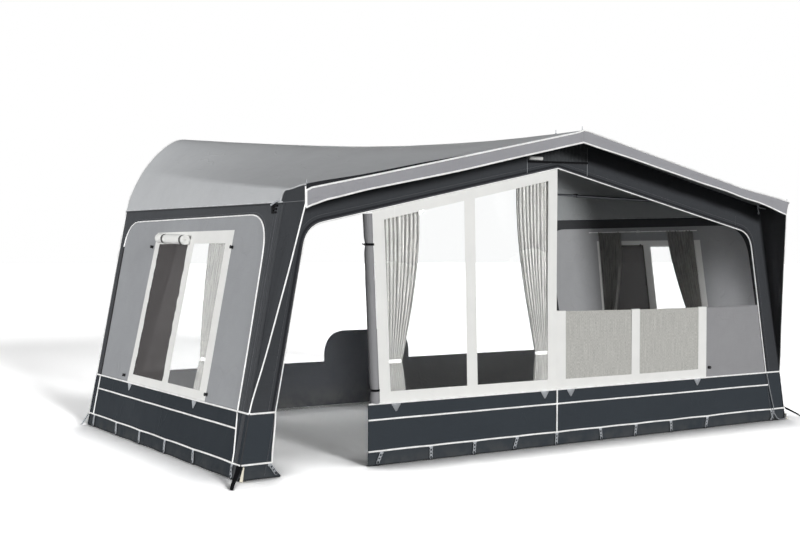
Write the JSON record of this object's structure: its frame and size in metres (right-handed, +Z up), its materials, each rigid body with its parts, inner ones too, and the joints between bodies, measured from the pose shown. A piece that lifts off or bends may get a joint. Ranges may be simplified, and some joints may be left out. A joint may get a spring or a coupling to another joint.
{
  "type": "caravan awning",
  "caption": "Framed caravan awning: a room of cloth with a canopy, side windows with blinds and curtains, an open doorway and a folded-down front panel, on telescopic tubes.",
  "frame": {"origin": "on the floor, at the centre of the bounding box", "axes": "+X along the caravan, to the right as seen from in front of the awning; +Y towards the caravan; +Z up"},
  "size_m": [5.3462, 3.29, 2.4844],
  "materials": {
    "roof_cloth": "matt coated weave",
    "panel_cloth": "matt coated weave",
    "charcoal_cloth": "matt weave",
    "mud_wall_cloth": "smooth coated cloth with a low sheen",
    "white_frame_cloth": "smooth coated cloth",
    "clear_foil": "clear film",
    "curtain_cloth": "soft weave",
    "skirt_cloth": "matt coated cloth",
    "tube_steel": "galvanised, dull",
    "black_plastic": "moulded, fine grain",
    "bead_plastic": "smooth",
    "zip_metal": "satin"
  },
  "bodies": {
    "awning": {"roof_panel": "roof_cloth", "canopy_valance": "roof_cloth", "wing_left": "charcoal_cloth", "wing_right": "charcoal_cloth", "side_border_left": "charcoal_cloth", "side_border_right": "charcoal_cloth", "front_border": "charcoal_cloth", "side_panel_left": "panel_cloth", "side_panel_right": "panel_cloth", "door_roll": "panel_cloth", "half_panel": "panel_cloth", "side_window_frame_left": "white_frame_cloth", "side_window_frame_right": "white_frame_cloth", "side_blind_left": "white_frame_cloth", "side_blind_right": "white_frame_cloth", "front_window_frame": "white_frame_cloth", "half_window_frame": "white_frame_cloth", "side_window_foil_left": "clear_foil", "side_window_foil_right": "clear_foil", "front_window_foil": "clear_foil", "half_curtain": "curtain_cloth", "front_curtain_left": "curtain_cloth", "front_curtain_right": "curtain_cloth", "side_curtain_front_left": "curtain_cloth", "side_curtain_front_right": "curtain_cloth", "side_curtain_rear_left": "curtain_cloth", "side_curtain_rear_right": "curtain_cloth", "mud_wall_left": "mud_wall_cloth", "mud_wall_right": "mud_wall_cloth", "mud_wall_front": "mud_wall_cloth", "mud_corner_left": "mud_wall_cloth", "mud_corner_right": "mud_wall_cloth", "draught_skirt": "skirt_cloth", "rail_bead": "bead_plastic", "front_post_left_upper": "tube_steel", "front_post_centre_upper": "tube_steel", "front_post_right_upper": "tube_steel", "rear_post_left_upper": "tube_steel", "rear_post_right_upper": "tube_steel", "roof_pole_left_front": "tube_steel", "roof_pole_centre_front": "tube_steel", "roof_pole_right_front": "tube_steel", "gable_pole_left": "tube_steel", "gable_pole_right": "tube_steel", "canopy_pole_left": "tube_steel", "canopy_pole_right": "tube_steel", "veranda_rail": "tube_steel"},
    "front_left_leg": {"front_post_left_lower": "tube_steel"},
    "front_centre_leg": {"front_post_centre_lower": "tube_steel"},
    "front_right_leg": {"front_post_right_lower": "tube_steel"},
    "rear_left_leg": {"rear_post_left_lower": "tube_steel"},
    "rear_right_leg": {"rear_post_right_lower": "tube_steel"},
    "left_lever": {"front_post_left_lever": "black_plastic"},
    "centre_lever": {"front_post_centre_lever": "black_plastic"},
    "right_lever": {"front_post_right_lever": "black_plastic"},
    "left_roof_slide": {"roof_pole_left_rear": "tube_steel"},
    "centre_roof_slide": {"roof_pole_centre_rear": "tube_steel"},
    "right_roof_slide": {"roof_pole_right_rear": "tube_steel"},
    "door_slider": {"door_zip_slider": "zip_metal"},
    "half_slider": {"half_zip_slider": "zip_metal"}
  },
  "joints": [
    {"name": "front_left_leg_slide", "type": "slide", "parent": "awning", "child": "front_left_leg", "axis": [0.1867, 0, 0.9824], "range_m": [-0.15, 0.25]},
    {"name": "front_centre_leg_slide", "type": "slide", "parent": "awning", "child": "front_centre_leg", "axis": [0, 0, 1], "range_m": [-0.15, 0.25]},
    {"name": "front_right_leg_slide", "type": "slide", "parent": "awning", "child": "front_right_leg", "axis": [-0.1867, 0, 0.9824], "range_m": [-0.15, 0.25]},
    {"name": "rear_left_leg_slide", "type": "slide", "parent": "awning", "child": "rear_left_leg", "axis": [0.1867, 0, 0.9824], "range_m": [-0.15, 0.25]},
    {"name": "rear_right_leg_slide", "type": "slide", "parent": "awning", "child": "rear_right_leg", "axis": [-0.1867, 0, 0.9824], "range_m": [-0.15, 0.25]},
    {"name": "left_lever_hinge", "type": "hinge", "parent": "awning", "child": "left_lever", "pos_m": [-2.4459, -1.2503, 0.81109], "axis": [0.9824, 0, -0.1867], "range_deg": [0, 150]},
    {"name": "centre_lever_hinge", "type": "hinge", "parent": "awning", "child": "centre_lever", "pos_m": [0, -1.2503, 0.812], "axis": [1, 0, 0], "range_deg": [0, 150]},
    {"name": "right_lever_hinge", "type": "hinge", "parent": "awning", "child": "right_lever", "pos_m": [2.4459, -1.2503, 0.81109], "axis": [0.9824, 0, 0.1867], "range_deg": [0, 150]},
    {"name": "left_roof_pole_slide", "type": "slide", "parent": "awning", "child": "left_roof_slide", "axis": [0.0448, 0.9953, 0.0856], "range_m": [-0.1, 0.03]},
    {"name": "centre_roof_pole_slide", "type": "slide", "parent": "awning", "child": "centre_roof_slide", "axis": [0, 0.9997, 0.0256], "range_m": [-0.1, 0.03]},
    {"name": "right_roof_pole_slide", "type": "slide", "parent": "awning", "child": "right_roof_slide", "axis": [-0.0448, 0.9953, 0.0856], "range_m": [-0.1, 0.03]},
    {"name": "door_zip_slide", "type": "slide", "parent": "awning", "child": "door_slider", "axis": [0.1867, 0, 0.9824], "range_m": [-0.1, 0.94]},
    {"name": "half_zip_slide", "type": "slide", "parent": "awning", "child": "half_slider", "axis": [-0.1867, 0, 0.9824], "range_m": [-0.5, 0.43]}
  ]
}
